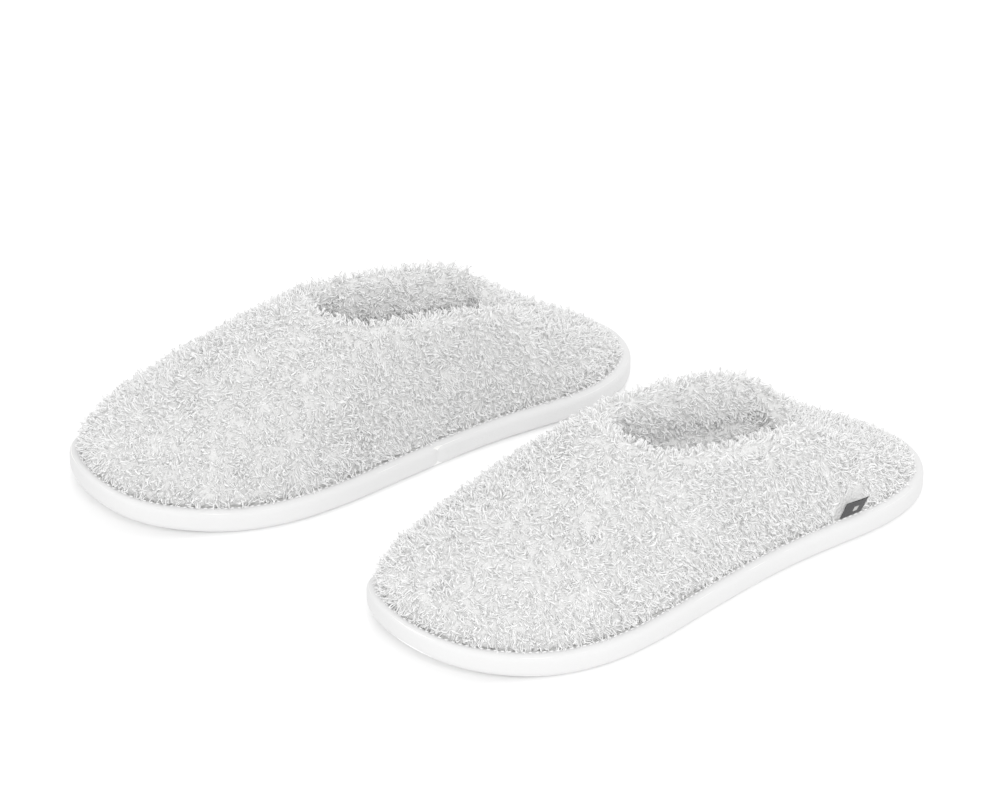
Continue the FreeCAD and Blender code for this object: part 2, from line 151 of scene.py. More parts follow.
def sheet_of(points: np.ndarray, close_around: bool, close_along: bool) -> bmesh.types.BMesh:
    """Grid whose vertices are carried onto a table of places, with its seams welded.

    Args:
        points: places, shaped (around, along, 3).
        close_around: whether the first and last columns meet.
        close_along: whether the first and last rows meet.

    Returns:
        The bmesh, with faces outwards, a UV map named "cloth" and quads only.
    """
    if close_around:
        points = np.concatenate([points, points[:1]], axis=0)
    if close_along:
        points = np.concatenate([points, points[:, :1]], axis=1)
    around, along = points.shape[:2]
    work = bmesh.new()
    bmesh.ops.create_grid(work, x_segments=around - 1, y_segments=along - 1, size=0.5,
                          calc_uvs=False)
    chart = work.loops.layers.uv.new("cloth")
    run = np.linalg.norm(np.diff(points, axis=0), axis=2).sum(axis=0).max()
    rise = np.linalg.norm(np.diff(points, axis=1), axis=2).sum(axis=1).max()
    for face in work.faces:
        for loop in face.loops:
            spot = loop.vert.co
            loop[chart].uv = ((spot.x + 0.5) * run, (spot.y + 0.5) * rise)
    for vert in work.verts:
        column = int(round((vert.co.x + 0.5) * (around - 1)))
        row = int(round((vert.co.y + 0.5) * (along - 1)))
        vert.co = points[column, row]
    bmesh.ops.remove_doubles(work, verts=work.verts, dist=1e-6)
    bmesh.ops.recalc_face_normals(work, faces=work.faces)
    return work


def smooth_step(low: float, high: float, value: np.ndarray) -> np.ndarray:
    """Share from 0 to 1 as a value passes from low to high, easing at both ends."""
    share = np.clip((value - low) / (high - low), 0.0, 1.0)
    return share * share * (3.0 - 2.0 * share)


# ------------------------------------------------------------------ sole's shape
@dataclass
class SoleForm:
    """Plan and toe spring of one slipper's sole, in the slipper's own frame."""

    foot: Foot
    length: float = 280.0 * MM
    stations: tuple[float, ...] = (0.035, 0.12, 0.26, 0.42, 0.58, 0.74, 0.88, 0.97)
    outer: tuple[float, ...] = (28.0, 45.5, 58.0, 54.0, 45.5, 41.5, 38.5, 24.5)
    inner: tuple[float, ...] = (29.5, 43.5, 55.5, 53.0, 45.0, 41.0, 38.0, 22.5)
    spring_length: float = 61.0 * MM
    spring_radius: float = 147.0 * MM
    spring_limit: float = 0.9
    toe_out: float = math.radians(2.45)
    tape_low: float = 0.4 * MM
    stack_top: float = 10.6 * MM
    samples: int = 2400
    curve: np.ndarray = field(init=False)
    turn: np.ndarray = field(init=False)
    origin: np.ndarray = field(init=False)

    def __post_init__(self) -> None:
        """Work out the outline and where the slipper stands in the pair."""
        side = self.foot.value
        knots = [(0.0, 0.0)]
        knots += [(side * w * MM, s * self.length) for s, w in zip(self.stations, self.outer)]
        knots.append((0.0, self.length))
        back = list(zip(self.stations, self.inner))[::-1]
        knots += [(-side * w * MM, s * self.length) for s, w in back]
        self.curve = self.closed_spline(np.array(knots))
        angle = side * self.toe_out
        self.turn = np.array([[math.cos(angle), -math.sin(angle)],
                              [math.sin(angle), math.cos(angle)]])
        low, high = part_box(self.foot.word + "_sole_binding")
        placed = self.curve @ self.turn.T
        middle = (placed.min(axis=0) + placed.max(axis=0)) / 2.0
        self.origin = (np.array(low[:2]) + np.array(high[:2])) / 2.0 - middle

    def closed_spline(self, knots: np.ndarray) -> np.ndarray:
        """Smooth closed curve through the knots, at even steps along its length.

        Args:
            knots: the points, shaped (count, 2).

        Returns:
            Points of the curve, shaped (samples, 2).
        """
        count = len(knots)
        ahead = np.roll(knots, -1, axis=0)
        gap = np.linalg.norm(ahead - knots, axis=1)
        system = np.zeros((count, count))
        right = np.zeros((count, 2))
        for index in range(count):
            before, after = gap[index - 1], gap[index]
            system[index, index - 1] += before
            system[index, index] += 2.0 * (before + after)
            system[index, (index + 1) % count] += after
            rise = (ahead[index] - knots[index]) / after
            fall = (knots[index] - knots[index - 1]) / before
            right[index] = 6.0 * (rise - fall)
        bend = np.linalg.solve(system, right)
        fine = 200
        share = np.linspace(0.0, 1.0, fine, endpoint=False)[:, None]
        rest = 1.0 - share
        runs = []
        for index in range(count):
            follow = (index + 1) % count
            width = gap[index] ** 2 / 6.0
            runs.append(rest * knots[index] + share * knots[follow]
                        + width * ((rest ** 3 - rest) * bend[index]
                                   + (share ** 3 - share) * bend[follow]))
        return self.even(np.concatenate(runs), self.samples)

    @staticmethod
    def even(points: np.ndarray, count: int) -> np.ndarray:
        """Closed curve resampled at even steps of its length.

        Args:
            points: points of the curve, shaped (any, 2).
            count: how many points are wanted.

        Returns:
            Points shaped (count, 2).
        """
        closed = np.concatenate([points, points[:1]])
        gone = np.concatenate([[0.0], np.cumsum(np.linalg.norm(np.diff(closed, axis=0), axis=1))])
        wanted = np.linspace(0.0, gone[-1], count, endpoint=False)
        return np.stack([np.interp(wanted, gone, closed[:, axis]) for axis in (0, 1)], axis=1)

    def ring(self, count: int, inset: float = 0.0) -> np.ndarray:
        """Outline moved inwards by an inset, at even steps from the toe's tip.

        Args:
            count: how many points.
            inset: distance inwards in metres.

        Returns:
            Points shaped (count, 2); they run over the outer side to the heel.
        """
        points = self.curve
        if inset:
            along = np.roll(points, -1, axis=0) - np.roll(points, 1, axis=0)
            along /= np.linalg.norm(along, axis=1)[:, None]
            inward = np.stack([-along[:, 1], along[:, 0]], axis=1) * self.foot.value
            points = points + inward * inset
        return self.even(points, count)

    def lift(self, y: np.ndarray) -> np.ndarray:
        """Height that the toe spring adds at distances from the tip."""
        run = np.clip(self.spring_length - y, 0.0, self.spring_radius * self.spring_limit)
        return self.spring_radius - np.sqrt(self.spring_radius ** 2 - run ** 2)

    def stand(self, points: np.ndarray) -> np.ndarray:
        """Carry points from the slipper's flat frame to the pair's frame.

        Args:
            points: places shaped (..., 3), before the toe spring.

        Returns:
            The same places with the toe spring, where the slipper stands.
        """
        placed = np.array(points, dtype=float)
        placed[..., 2] += self.lift(points[..., 1])
        placed[..., :2] = points[..., :2] @ self.turn.T + self.origin
        return placed


# ----------------------------------------------------------------- upper's shape
@dataclass
class UpperForm:
    """Sections of the upper, from the seam at the sole to the foot opening."""

    sole: SoleForm
    lip: float = 5.0 * MM
    centre: float = 164.0 * MM
    half_length: float = 50.0 * MM
    half_width: float = 27.0 * MM
    throat: float = 78.0 * MM
    side_height: float = 65.5 * MM
    rear: float = 44.0 * MM
    slope: float = 8.0 * MM
    front_corner: float = 2.3
    rear_corner: float = 3.8
    sway: float = 0.0
    wall_depth: float = 6.0 * MM
    collar_depth: float = 10.0 * MM
    collar_reach: float = 16.0 * MM
    crease: float = 4.5 * MM
    second_roll: float = 9.0 * MM
    second_reach: float = 31.0 * MM
    hang: float = 0.55  # how far the inner face swings in for each metre it drops
    nap_inset: float = 1.4 * MM
    end_ease: float = 1.5
    low_rise: tuple[float, float, float] = (0.36, 0.06, 0.19)  # plain, more in front, less behind
    high_rise: tuple[float, float] = (0.56, 0.05)  # plain, less behind
    high_reach: tuple[float, float] = (0.35, 0.13)  # plain, more behind
    straight_part: tuple[float, float] = (0.78, 0.98)
    collar_ease: float = 0.05
    second_ease: float = 0.03
    crease_shift: float = 0.02
    crease_width: float = 0.035
    floor_gap: float = 0.4 * MM
    tangent_step: float = 0.002
    around: int = 288
    outer_rows: int = 34
    roll_rows: int = 10
    inner_rows: int = 40

    def rim(self, direction: np.ndarray) -> np.ndarray:
        """Edge of the foot opening.

        Args:
            direction: unit directions in the plan from the opening's centre, (count, 2).

        Returns:
            Places shaped (count, 3), before the toe spring.
        """
        corner = np.where(direction[:, 1] < 0.0, self.front_corner, self.rear_corner)
        reach = (np.abs(direction[:, 0]) / self.half_width) ** corner
        reach += (np.abs(direction[:, 1]) / self.half_length) ** corner
        reach = reach ** (-1.0 / corner)
        forward = -direction[:, 1] * reach / self.half_length
        beside = np.abs(direction[:, 0]) * reach / self.half_width
        line = self.side_height + self.slope * forward
        end = np.where(forward > 0.0, self.throat, self.rear)
        level = self.side_height + np.sign(forward) * self.slope
        height = line + (end - level) * (1.0 - beside ** 2) ** 2
        height -= self.sway * beside ** 2 * np.sign(direction[:, 0]) * self.sole.foot.value
        plan = direction * reach[:, None] + np.array([0.0, self.centre])
        return np.concatenate([plan, height[:, None]], axis=1)

    def wall(self, base: np.ndarray, share: np.ndarray) -> np.ndarray:
        """Outer face of the upper.

        Args:
            base: points on the seam at the sole, shaped (count, 2).
            share: 0 at the sole to 1 at the opening, shaped (count, rows).

        Returns:
            Places shaped (count, rows, 3), before the toe spring.
        """
        away = base - np.array([0.0, self.centre])
        direction = away / np.linalg.norm(away, axis=1)[:, None]
        rim = self.rim(direction)
        front = np.maximum(-direction[:, 1], 0.0)[:, None] ** self.end_ease
        rear = np.maximum(direction[:, 1], 0.0)[:, None] ** self.end_ease
        plain, more, less = self.low_rise
        steep = plain + more * front - less * rear
        rest = 1.0 - share
        one, two, three = 3 * rest ** 2 * share, 3 * rest * share ** 2, share ** 3
        inwards = two * (self.high_reach[0] + self.high_reach[1] * rear) + three
        upwards = one * steep + two * (self.high_rise[0] - self.high_rise[1] * rear) + three
        plan = base[:, None] + (rim[:, None, :2] - base[:, None]) * inwards[..., None]
        foot_level = self.sole.stack_top
        height = foot_level + (rim[:, None, 2] - foot_level) * upwards
        return np.concatenate([plan, height[..., None]], axis=2)

    def face(self, base: np.ndarray,
             share: np.ndarray) -> tuple[np.ndarray, np.ndarray, np.ndarray]:
        """Outer face with its inward normals and upward tangents.

        Args:
            base: points on the seam at the sole, shaped (count, 2).
            share: shares of the section, shaped (count, rows).

        Returns:
            Places, inward normals and upward tangents, each (count, rows, 3).
        """
        here = self.wall(base, share)
        along = self.wall(np.roll(base, -1, axis=0), share)
        along = along - self.wall(np.roll(base, 1, axis=0), share)
        high = np.clip(share + self.tangent_step, 0.0, 1.0)
        low = np.clip(share - self.tangent_step, 0.0, 1.0)
        upward = self.wall(base, high) - self.wall(base, low)
        inward = np.cross(along, upward) * -self.sole.foot.value
        inward /= np.linalg.norm(inward, axis=2)[..., None]
        upward /= np.linalg.norm(upward, axis=2)[..., None]
        return here, inward, upward

    def straight(self, base: np.ndarray) -> np.ndarray:
        """How much each section belongs to the opening's straight sides.

        Args:
            base: points on the seam at the sole, shaped (count, 2).

        Returns:
            1 along the sides and 0 round the ends, shaped (count,).
        """
        away = base - np.array([0.0, self.centre])
        direction = away / np.linalg.norm(away, axis=1)[:, None]
        beside = np.abs(self.rim(direction)[:, 0]) / self.half_width
        return smooth_step(*self.straight_part, beside)

    def share_below(self, base: np.ndarray, distance: float) -> np.ndarray:
        """Share of each section that lies a distance below the opening.

        Args:
            base: points on the seam at the sole, shaped (count, 2).
            distance: distance down the outer face in metres.

        Returns:
            Shares shaped (count,).
        """
        steps = np.linspace(1.0, 0.0, 401)
        share = np.repeat(steps[None], len(base), axis=0)
        line = self.wall(base, share)
        gone = np.cumsum(np.linalg.norm(np.diff(line, axis=1), axis=2), axis=1)
        first = np.argmax(gone >= distance, axis=1)
        return steps[first + 1]

    def places(self) -> np.ndarray:
        """Table of the whole shell: outer wall, roll over the rim, inner wall.

        Returns:
            Places shaped (around, rows, 3) in the pair's frame.
        """
        base = self.sole.ring(self.around, self.lip)
        radius = self.collar_depth / 2.0
        top = self.share_below(base, radius)[:, None]
        rows = np.linspace(0.0, 1.0, self.outer_rows)[None]
        outer, inward, _up = self.face(base, top * rows)
        outer = outer + inward * self.nap_inset

        edge, inward, upward = self.face(base, top)
        centre = edge + inward * (radius + self.nap_inset * 0.5)
        angle = np.linspace(0.0, math.pi, self.roll_rows + 2)[1:-1][None, :, None]
        roll = centre + radius * (upward * np.sin(angle) - inward * np.cos(angle))

        hem = self.share_below(base, self.collar_reach)[:, None]
        fold = self.share_below(base, self.second_reach)[:, None]
        rows = np.linspace(0.0, 1.0, self.inner_rows)[None]
        share = top * (1.0 - rows)
        inner, inward, _up = self.face(base, share)
        on_collar = smooth_step(0.0, self.collar_ease, share - hem)
        crease = np.exp(-((share - hem + self.crease_shift) / self.crease_width) ** 2)
        on_second = smooth_step(-self.second_ease, self.collar_ease, share - fold)
        on_second = on_second * (1.0 - on_collar)
        depth = self.wall_depth + (self.collar_depth - self.wall_depth) * on_collar
        depth += (self.second_roll - self.wall_depth) * on_second - self.crease * crease
        down = (1.0 - share) / (1.0 - fold) * self.second_reach
        depth += self.hang * down * (on_collar + on_second) * self.straight(base)[:, None]
        inner = inner + inward * (depth + self.nap_inset * 0.5)[..., None]
        floor = self.sole.stack_top + self.floor_gap
        inner[..., 2] = np.maximum(inner[..., 2], floor)
        shell = np.concatenate([outer, roll, inner], axis=1)
        return self.sole.stand(shell)


# --------------------------------------------------------------------- finishes
class Shader:
    """Small helper that lays out a material's nodes."""

    def __init__(self, name: str) -> None:
        """Start a material with a Principled shader.

        Args:
            name: name of the material.
        """
        self.material = bpy.data.materials.new(name)
        self.material.use_nodes = True
        self.nodes = self.material.node_tree.nodes
        self.links = self.material.node_tree.links
        self.shader = self.nodes["Principled BSDF"]

    def add(self, kind: str, **values: object) -> bpy.types.Node:
        """Add a node and set its properties and inputs.

        Args:
            kind: the node's type.
            values: properties by name, or inputs by name with spaces as underscores.

        Returns:
            The node.
        """
        node = self.nodes.new(kind)
        for key, value in values.items():
            if hasattr(node, key):
                setattr(node, key, value)
            else:
                node.inputs[key.replace("_", " ")].default_value = value
        return node

    def join(self, source: bpy.types.NodeSocket, target: bpy.types.NodeSocket) -> None:
        """Link two sockets."""
        self.links.new(source, target)


def group_sockets(group: bpy.types.NodeTree, inputs: dict[str, tuple[str, object]],
                  outputs: dict[str, str]) -> None:
    """Give a node group its named inputs and outputs.

    Args:
        group: the node group.
        inputs: name to (socket type, default value or None).
        outputs: name to socket type.
    """
    for name, (kind, value) in inputs.items():
        socket = group.interface.new_socket(name=name, in_out="INPUT", socket_type=kind)
        if value is not None:
            socket.default_value = value
    for name, kind in outputs.items():
        group.interface.new_socket(name=name, in_out="OUTPUT", socket_type=kind)


def mottle_group() -> bpy.types.NodeTree:
    """Group that varies a colour softly over the cloth, as washed cotton varies.

    Returns:
        The group, with Colour, Depth and Scale inputs and a Colour output.
    """
    group = bpy.data.node_groups.new("soft_mottle", "ShaderNodeTree")
    group_sockets(group, {"Colour": ("NodeSocketColor", (0.9, 0.9, 0.9, 1.0)),
                          "Depth": ("NodeSocketFloat", 0.1),
                          "Scale": ("NodeSocketFloat", 60.0)},
                  {"Colour": "NodeSocketColor"})
    nodes, links = group.nodes, group.links
    start, end, place, cloud, darker, lighter, tint = (nodes.new(kind) for kind in (
        "NodeGroupInput", "NodeGroupOutput", "ShaderNodeTexCoord", "ShaderNodeTexNoise",
        "ShaderNodeMath", "ShaderNodeMath", "ShaderNodeVectorMath"))
    cloud.inputs["Detail"].default_value = 4.0
    darker.operation, lighter.operation, tint.operation = "MULTIPLY", "SUBTRACT", "SCALE"
    lighter.inputs[0].default_value = 1.0
    for source, target in ((place.outputs["Object"], cloud.inputs["Vector"]),
                           (start.outputs["Scale"], cloud.inputs["Scale"]),
                           (cloud.outputs["Fac"], darker.inputs[0]),
                           (start.outputs["Depth"], darker.inputs[1]),
                           (darker.outputs[0], lighter.inputs[1]),
                           (start.outputs["Colour"], tint.inputs[0]),
                           (lighter.outputs[0], tint.inputs["Scale"]),
                           (tint.outputs[0], end.inputs["Colour"])):
        links.new(source, target)
    return group


@dataclass(frozen=True)
class ClothFinish:
    """Matt white cloth: its colour, mottling, weave and how rough it is."""

    name: str
    colour: tuple[float, float, float]
    mottle: float = 0.08
    mottle_scale: float = 70.0
    weave_scale: float = 900.0
    weave_height: float = 0.0003
    roughness: float = 0.92
    sheen: float = 0.15
    # root_shade and root_reach paint shade on the loops: colour scaled to root_shade at the root,
    # full from root_reach of the height up.
    root_shade: float = 1.0
    root_reach: float = 0.7
    warp: float = 1.0
    weave_strength: float = 0.6
    specular: float = 0.25
    inner_glow: float = 0.0
    glow_depth: float = 1.0 * MM

    def make(self, mottle: bpy.types.NodeTree) -> bpy.types.Material:
        """Build the material.

        Args:
            mottle: the shared mottling group.

        Returns:
            The material.
        """
        kit = Shader(self.name)
        soft = kit.add("ShaderNodeGroup", node_tree=mottle)
        soft.inputs["Colour"].default_value = (*self.colour, 1.0)
        soft.inputs["Depth"].default_value = self.mottle
        soft.inputs["Scale"].default_value = self.mottle_scale
        colour = soft.outputs["Colour"]
        # Painted shade: loops darker towards their roots, read from the tip attribute.
        if self.root_shade < 1.0:
            tip = kit.add("ShaderNodeAttribute", attribute_name="tip")
            shade = kit.add("ShaderNodeMapRange")
            shade.inputs["From Max"].default_value = self.root_reach
            shade.inputs["To Min"].default_value = self.root_shade
            shade.inputs["To Max"].default_value = 1.0
            tint = kit.add("ShaderNodeVectorMath", operation="SCALE")
            kit.join(tip.outputs["Fac"], shade.inputs["Value"])
            kit.join(colour, tint.inputs[0])
            kit.join(shade.outputs["Result"], tint.inputs["Scale"])
            colour = tint.outputs[0]
        kit.join(colour, kit.shader.inputs["Base Color"])
        if self.weave_height > 0.0:
            place = kit.add("ShaderNodeTexCoord")
            stretch = kit.add("ShaderNodeMapping")
            stretch.inputs["Scale"].default_value = (1.0, self.warp, 1.0)
            grain = kit.add("ShaderNodeTexVoronoi", Scale=self.weave_scale)
            bump = kit.add("ShaderNodeBump", Strength=self.weave_strength,
                           Distance=self.weave_height)
            kit.join(place.outputs["Object"], stretch.inputs["Vector"])
            kit.join(stretch.outputs["Vector"], grain.inputs["Vector"])
            kit.join(grain.outputs["Distance"], bump.inputs["Height"])
            kit.join(bump.outputs["Normal"], kit.shader.inputs["Normal"])
        values = {"Roughness": self.roughness, "Sheen Weight": self.sheen,
                  "Specular IOR Level": self.specular}
        if self.inner_glow > 0.0:
            values.update({"Subsurface Weight": self.inner_glow,
                           "Subsurface Radius": (1.0, 1.0, 1.0),
                           "Subsurface Scale": self.glow_depth})
        for name, value in values.items():
            kit.shader.inputs[name].default_value = value
        return kit.material


class Finishes:
    """Every material of the pair, built once."""

    def __init__(self) -> None:
        """Build the materials."""
        mottle = mottle_group()
        made = [
            ClothFinish("terry_loops", (0.93, 0.93, 0.925), mottle=0.04, mottle_scale=45.0,
                        weave_height=0.0, root_shade=0.95, sheen=0.2, inner_glow=0.6),
            # Ground cloth under the outer loops: its grey is painted shade between the loops, since
            # the real cloth is as white as the loops.
            ClothFinish("terry_ground", (0.64, 0.64, 0.635), mottle=0.15, mottle_scale=420.0,
                        weave_scale=700.0, weave_height=0.0012),
            ClothFinish("lining_loops", (0.965, 0.965, 0.96), mottle=0.06, mottle_scale=60.0,
                        weave_height=0.0, root_shade=0.9, inner_glow=0.5),
            ClothFinish("lining_ground", (0.92, 0.92, 0.91), mottle=0.22, mottle_scale=380.0,
                        weave_scale=800.0, weave_height=0.0010),
            ClothFinish("binding_tape", (0.58, 0.58, 0.58), mottle=0.03, mottle_scale=90.0,
                        weave_scale=1500.0, weave_height=0.00012, roughness=0.8, warp=0.5),
            ClothFinish("tape_thread", (0.84, 0.84, 0.84), mottle=0.08, mottle_scale=500.0,
                        weave_scale=2500.0, weave_height=0.0001, roughness=0.7),
            ClothFinish("sole_cloth", (0.86, 0.86, 0.855), mottle=0.10, mottle_scale=50.0,
                        weave_scale=1200.0, weave_height=0.0003),
            ClothFinish("sole_dots", (0.82, 0.82, 0.81), mottle=0.05, mottle_scale=200.0,
                        weave_scale=3000.0, weave_height=0.00005, roughness=0.45, sheen=0.0),
            ClothFinish("padding_foam", (0.90, 0.90, 0.87), mottle=0.12, mottle_scale=600.0,
                        weave_scale=1100.0, weave_height=0.0006),
            ClothFinish("pressed_board", (0.70, 0.67, 0.61), mottle=0.2, mottle_scale=300.0,
                        weave_scale=900.0, weave_height=0.0002),
            ClothFinish("woven_label", (0.006, 0.006, 0.007), mottle=0.4, mottle_scale=900.0,
                        weave_scale=2600.0, weave_height=0.00015, roughness=0.75, sheen=0.1),
            ClothFinish("label_motif", (0.30, 0.30, 0.29), mottle=0.1, mottle_scale=900.0,
                        weave_scale=2600.0, weave_height=0.0001, roughness=0.75),
        ]
        self.by_name = {finish.name: finish.make(mottle) for finish in made}

    def put(self, piece: bpy.types.Object, *names: str) -> None:
        """Give a piece its materials, replacing what it had.

        Args:
            piece: the piece. Its faces keep their material numbers if it had none.
            names: names of the finishes, one for each material number.
        """
        if piece.data.materials:
            piece.data.materials.clear()
        for name in names:
            piece.data.materials.append(self.by_name[name])

    def settle(self, piece: bpy.types.Object, body: str, slot: str, *names: str) -> None:
        """Dress a piece and set it on its body.

        Args:
            piece: the piece.
            body: the body that it rides.
            slot: not used.
            names: names of the finishes.
        """
        self.put(piece, *names)
        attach(piece, body)


# ------------------------------------------------------------------- terry pile
@dataclass
class LoopYarn:
    """One loop of terry yarn, bent over and drawn from a turned triangle."""

    name: str
    height: float = 3.7 * MM
    spread: float = 0.85 * MM
    thickness: float = 0.27 * MM
    bend: float = 1.3 * MM
    twist: float = 0.5
    roundness: float = 0.75
    foot_width: float = 0.35
    sides: int = 3
    steps: int = 5

    def path(self) -> list[Vector]:
        """Lay out the loop: up one leg, over the top and down the other.

        Returns:
            Points of the loop, from one foot to the other.
        """
        points = []
        for step in range(self.steps + 1):
            angle = math.pi * step / self.steps
            up = math.sin(angle) ** self.roundness if 0 < step < self.steps else 0.0
            x = -math.cos(angle) * self.spread * (self.foot_width + (1.0 - self.foot_width) * up)
            sway = self.bend * up * up
            swirl = self.twist * up
            points.append(Vector((x * math.cos(swirl), sway + x * math.sin(swirl),
                                  up * self.height)))
        return points

    def build(self) -> bpy.types.Mesh:
        """Extrude the yarn's ring along the loop and mark how near the tip it is.

        Returns:
            The mesh, with a point attribute named "tip".
        """
        work = bmesh.new()
        tip = work.verts.layers.float.new("tip")
        path = self.path()
        made = bmesh.ops.create_circle(work, cap_ends=True, segments=self.sides,
                                       radius=self.thickness)
        ring = made["verts"]
        heading = (path[1] - path[0]).normalized()
        turn = Vector((0, 0, 1)).rotation_difference(heading).to_matrix().to_4x4()
        bmesh.ops.transform(work, matrix=Matrix.Translation(path[0]) @ turn, verts=ring)
        face = work.faces[:][0]
        for index in range(1, len(path)):
            grown = bmesh.ops.extrude_face_region(work, geom=[face], use_keep_orig=index == 1)
            verts = [item for item in grown["geom"] if isinstance(item, bmesh.types.BMVert)]
            face = [item for item in grown["geom"] if isinstance(item, bmesh.types.BMFace)][0]
            bmesh.ops.translate(work, vec=path[index] - path[index - 1], verts=verts)
            last = path[min(index + 1, len(path) - 1)] - path[index - 1]
            if last.length > 0.0:
                swing = heading.rotation_difference(last.normalized())
                bmesh.ops.rotate(work, cent=path[index], matrix=swing.to_matrix(), verts=verts)
                heading = last.normalized()
        for vert in work.verts:
            vert[tip] = max(0.0, min(1.0, vert.co.z / self.height))
        bmesh.ops.recalc_face_normals(work, faces=work.faces)
        return mesh_from(work, self.name)


class PileNodes:
    """Geometry nodes that stand loops on a cloth and comb them into swirls."""

    WIDE_SWIRL = 55.0
    TIGHT_SWIRL = 190.0
    TIGHT_SHARE = 0.8
    LEAST_STAND = 0.22
    SMALLEST = 0.78
    LARGEST = 1.2
    FULL_TURN = 6.283
    KINDS = 4
    UP = (0.0, 0.0, 1.0)
    DOWN = (0.0, 0.0, -1.0)

    def __init__(self) -> None:
        """Build the shared node group."""
        self.group = bpy.data.node_groups.new("pile_scatter", "GeometryNodeTree")
        group_sockets(self.group, {
            "Cloth": ("NodeSocketGeometry", None),
            "Loops": ("NodeSocketCollection", None),
            "Spacing": ("NodeSocketFloat", 0.0014),
            "Density": ("NodeSocketFloat", 600000.0),
            "Stand": ("NodeSocketFloat", 0.5),
            "Swirl": ("NodeSocketFloat", 1.0),
            "Fall": ("NodeSocketFloat", 0.3),
            "Tousle": ("NodeSocketFloat", 0.5),
            "Size": ("NodeSocketFloat", 1.0),
            "Seed": ("NodeSocketInt", 1),
        }, {"Pile": "NodeSocketGeometry"})
        self.links = self.group.links
        self.start = self.node("NodeGroupInput")
        self.lay_out()

    def node(self, kind: str, **values: object) -> bpy.types.Node:
        """Add a node with its properties set.

        Args:
            kind: the node's type.
            values: properties by name.

        Returns:
            The node.
        """
        made = self.group.nodes.new(kind)
        for key, value in values.items():
            setattr(made, key, value)
        return made

    def feed(self, node: bpy.types.Node, inputs: dict[str | int, object]) -> bpy.types.Node:
        """Link or set some inputs of a node.

        Args:
            node: the node.
            inputs: socket or constant for each input, by its name or number.

        Returns:
            The node.
        """
        for key, value in inputs.items():
            if isinstance(value, bpy.types.NodeSocket):
                self.links.new(value, node.inputs[key])
            else:
                node.inputs[key].default_value = value
        return node

    def vector(self, operation: str, *inputs: object, scale: object = None) -> bpy.types.NodeSocket:
        """Add a vector sum and link or set its inputs.

        Args:
            operation: the vector operation.
            inputs: sockets or constants for the vector inputs.
            scale: socket or constant for the scale input.

        Returns:
            Its output socket.
        """
        made = self.node("ShaderNodeVectorMath", operation=operation)
        self.feed(made, dict(enumerate(inputs)))
        if scale is not None:
            self.feed(made, {"Scale": scale})
        return made.outputs["Value" if operation == "DOT_PRODUCT" else "Vector"]

    def flow(self, normal: bpy.types.NodeSocket) -> bpy.types.NodeSocket:
        """Work out a direction in the cloth's plane that swirls from place to place.

        Args:
            normal: the cloth's normal.

        Returns:
            The direction's socket.
        """
        place = self.node("GeometryNodeInputPosition").outputs[0]
        wide = self.swirl_field(place, self.WIDE_SWIRL)
        tight = self.swirl_field(place, self.TIGHT_SWIRL)
        mixed = self.vector("ADD", wide, self.vector("SCALE", tight, scale=self.TIGHT_SHARE))
        along = self.vector("SCALE", normal, scale=self.vector("DOT_PRODUCT", mixed, normal))
        return self.vector("NORMALIZE", self.vector("SUBTRACT", mixed, along))

    def swirl_field(self, place: bpy.types.NodeSocket, scale: float) -> bpy.types.NodeSocket:
        """Turn noise into a direction that points every way about nought.

        Args:
            place: where the noise is read.
            scale: the noise's scale.

        Returns:
            The direction's socket.
        """
        cloud = self.feed(self.node("ShaderNodeTexNoise"),
                          {"Scale": scale, "Detail": 1.0, "Vector": place})
        return self.vector("SUBTRACT", cloud.outputs["Color"], (0.5, 0.5, 0.5))

    def chance(self, kind: str, low: object, high: object, shift: int) -> bpy.types.NodeSocket:
        """Draw a random value for each loop, seeded from the group's seed.

        Args:
            kind: the value's type.
            low: least value.
            high: greatest value.
            shift: what is added to the seed.

        Returns:
            The value's socket.
        """
        dice = self.node("FunctionNodeRandomValue", data_type=kind)
        pick = {"FLOAT_VECTOR": (0, 1, 0), "FLOAT": (2, 3, 1), "INT": (4, 5, 2)}[kind]
        seed = self.node("ShaderNodeMath", operation="ADD")
        self.feed(seed, {0: self.start.outputs["Seed"], 1: float(shift)})
        self.feed(dice, {pick[0]: low, pick[1]: high, "Seed": seed.outputs[0]})
        return dice.outputs[pick[2]]

    def lay_out(self) -> None:
        """Join the nodes from the cloth to the finished pile."""
        start = self.start.outputs
        spots = self.node("GeometryNodeDistributePointsOnFaces", distribute_method="POISSON")
        self.feed(spots, {"Mesh": start["Cloth"], "Distance Min": start["Spacing"],
                          "Density Max": start["Density"], "Seed": start["Seed"]})
        normal = spots.outputs["Normal"]
        comb = self.vector("SCALE", self.flow(normal), scale=start["Swirl"])
        stand = self.vector("SCALE", normal, scale=start["Stand"])
        drop = self.vector("SCALE", self.DOWN, scale=start["Fall"])
        stray = self.chance("FLOAT_VECTOR", (-1.0, -1.0, -1.0), (1.0, 1.0, 1.0), 3)
        stray = self.vector("SCALE", stray, scale=start["Tousle"])
        lean = self.vector("ADD", self.vector("ADD", comb, stand), self.vector("ADD", drop, stray))
        above = self.vector("DOT_PRODUCT", lean, normal)
        least = self.node("ShaderNodeMath", operation="MAXIMUM")
        self.feed(least, {0: above, 1: self.LEAST_STAND})
        flat = self.vector("SUBTRACT", lean, self.vector("SCALE", normal, scale=above))
        lean = self.vector("ADD", flat, self.vector("SCALE", normal, scale=least.outputs[0]))
        aim = self.node("FunctionNodeAlignRotationToVector", axis="Z")
        self.feed(aim, {"Vector": lean})
        spin = self.node("FunctionNodeAxisAngleToRotation")
        self.feed(spin, {"Axis": self.UP, "Angle": self.chance("FLOAT", 0.0, self.FULL_TURN, 7)})
        turned = self.node("FunctionNodeRotateRotation", rotation_space="LOCAL")
        self.feed(turned, {"Rotation": aim.outputs["Rotation"],
                           "Rotate By": spin.outputs["Rotation"]})
        kinds = self.node("GeometryNodeCollectionInfo")
        self.feed(kinds, {"Separate Children": True, "Reset Children": True,
                          "Collection": start["Loops"]})
        size = self.node("ShaderNodeMath", operation="MULTIPLY")
